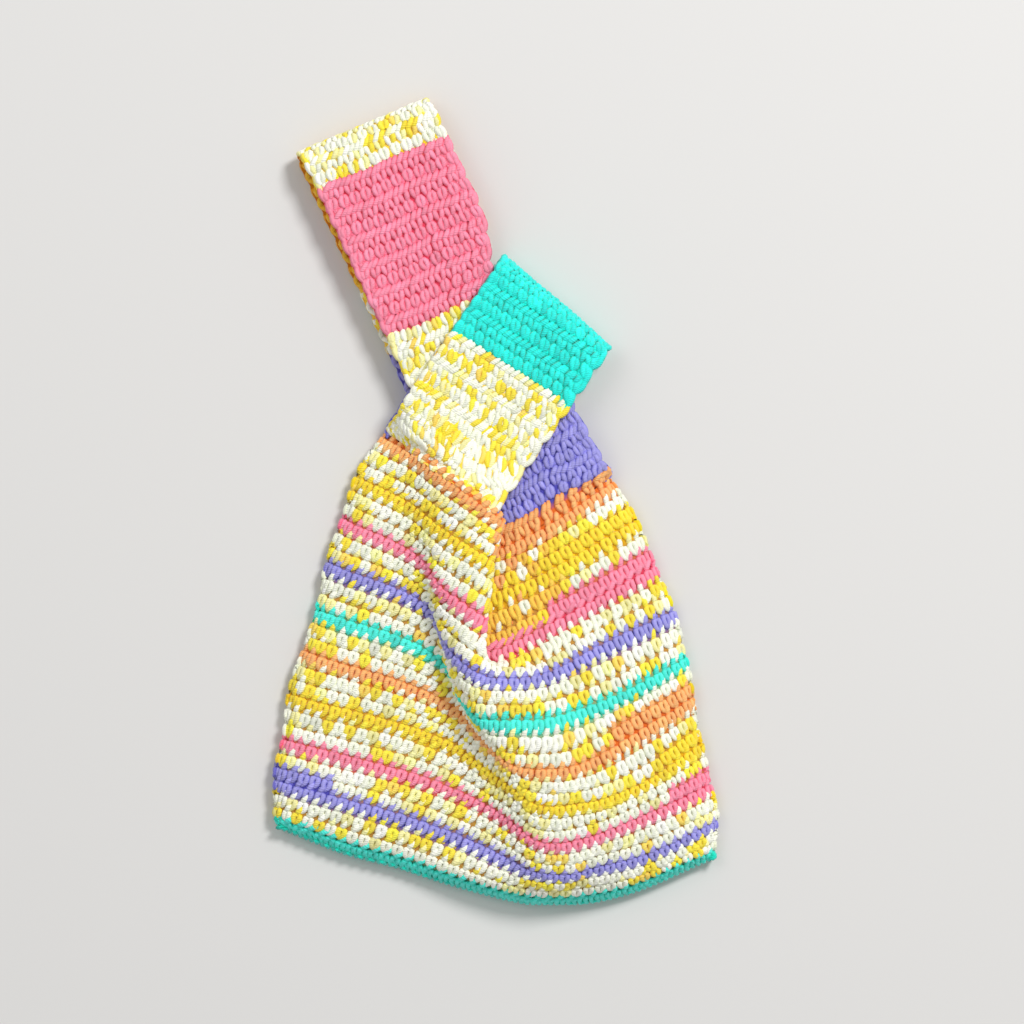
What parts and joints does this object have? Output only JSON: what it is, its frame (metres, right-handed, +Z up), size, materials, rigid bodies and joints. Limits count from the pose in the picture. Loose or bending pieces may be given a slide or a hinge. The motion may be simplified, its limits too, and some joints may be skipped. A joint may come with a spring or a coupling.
{
  "type": "knot bag",
  "caption": "Small crocheted knot bag lying flat, its long handle drawn through the loop of the short handle to close the mouth.",
  "frame": {"origin": "middle of the bounding box on the surface the bag lies on", "axes": "+Z up from the surface, through the bag's front; +Y from the bottom of the bag towards the top of the long handle; +X to the right as seen from the front"},
  "size_m": [0.237, 0.4266, 0.041],
  "materials": {
    "crochet": "matte self-striping cotton yarn"
  },
  "bodies": {
    "root": {"knot_bag": "crochet"}
  },
  "joints": []
}
